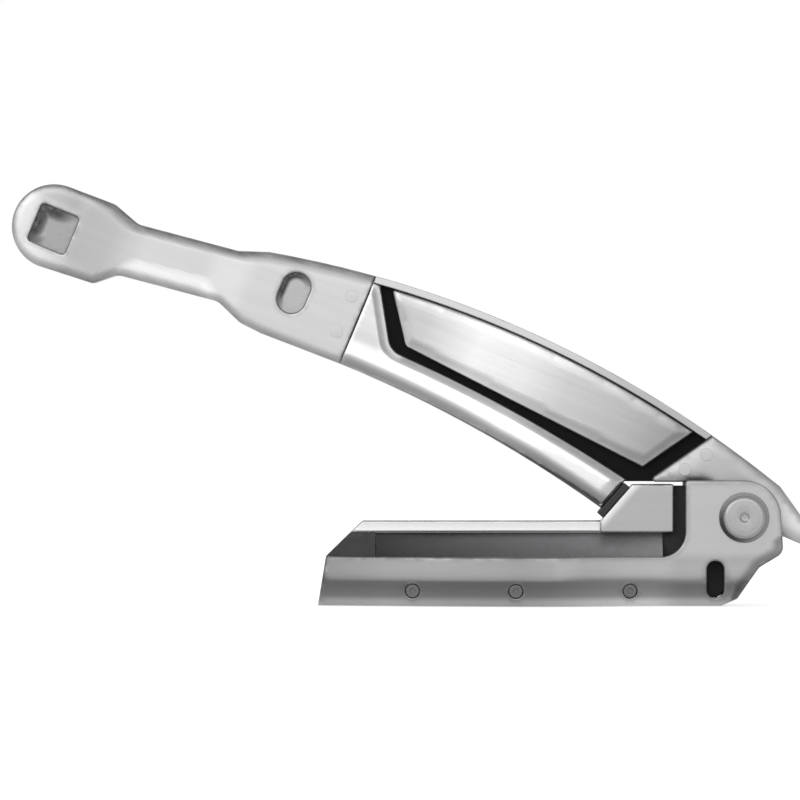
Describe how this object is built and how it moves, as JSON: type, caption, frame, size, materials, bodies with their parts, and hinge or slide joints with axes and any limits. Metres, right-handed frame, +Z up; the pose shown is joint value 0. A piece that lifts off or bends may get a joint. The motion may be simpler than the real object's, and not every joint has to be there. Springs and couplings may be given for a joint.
{
  "type": "plough anchor",
  "caption": "Hinged plough anchor: a curved built-up shank with a square eye swings on a pin between the ears of a long, low share with a keel, horn and concave mouldboards.",
  "frame": {"origin": "on the flat underside of the sole, on the centre line, 30 mm ahead of the line straight below the hinge axis", "axes": "-X towards the toe of the share and the eye of the shank, +X towards the tail, +Z up from the sole, -Y the side of the pin's round head"},
  "size_m": [0.4986, 0.0827, 0.2628],
  "materials": {
    "polished_steel": "ground and polished bright",
    "satin_steel": "satin, blasted and lightly brushed",
    "side_plate_steel": "satin, rolled plate",
    "dark_steel": "dark, unpolished",
    "blackened_steel": "blackened, matt",
    "bronze": "machined bronze",
    "rubber": "moulded, matt black",
    "fastener_steel": "machined, satin"
  },
  "bodies": {
    "share": {"cross_bolt_front": "fastener_steel", "cross_bolt_middle": "fastener_steel", "cross_bolt_rear": "fastener_steel", "cross_nut_front": "fastener_steel", "cross_nut_middle": "fastener_steel", "cross_nut_rear": "fastener_steel", "cross_spacer_front_left": "fastener_steel", "cross_spacer_front_right": "fastener_steel", "cross_spacer_middle_left": "fastener_steel", "cross_spacer_middle_right": "fastener_steel", "cross_spacer_rear_left": "fastener_steel", "cross_spacer_rear_right": "fastener_steel", "hinge_nut": "fastener_steel", "hinge_pin": "fastener_steel", "horn_spine": "satin_steel", "keel_web": "blackened_steel", "left_mouldboard": "dark_steel", "left_side_plate": "side_plate_steel", "outer_washer_left": "fastener_steel", "outer_washer_right": "fastener_steel", "right_mouldboard": "dark_steel", "right_side_plate": "side_plate_steel", "sole_plate": "side_plate_steel", "stop_buffer": "rubber", "thrust_washer_left": "bronze", "thrust_washer_right": "bronze", "toe_ballast": "dark_steel"},
    "shank": {"cheek_dowel_aft": "fastener_steel", "cheek_dowel_front": "fastener_steel", "cheek_dowel_middle": "fastener_steel", "crown_strip": "satin_steel", "eye_block": "satin_steel", "head_rivet_lower": "fastener_steel", "head_rivet_upper": "fastener_steel", "heel_forging": "satin_steel", "heel_rivet_lower": "fastener_steel", "heel_rivet_upper": "fastener_steel", "hinge_bush": "bronze", "left_cheek": "polished_steel", "left_rail": "polished_steel", "oval_plug": "satin_steel", "rail_dowel_aft": "fastener_steel", "rail_dowel_front": "fastener_steel", "rail_dowel_middle": "fastener_steel", "right_cheek": "polished_steel", "right_rail": "polished_steel", "shank_head": "satin_steel", "web_plate": "blackened_steel"}
  },
  "joints": [
    {"name": "shank_hinge", "type": "hinge", "parent": "share", "child": "shank", "pos_m": [0.03, 0, 0.055], "axis": [0, 1, 0], "range_deg": [0, 60]}
  ]
}
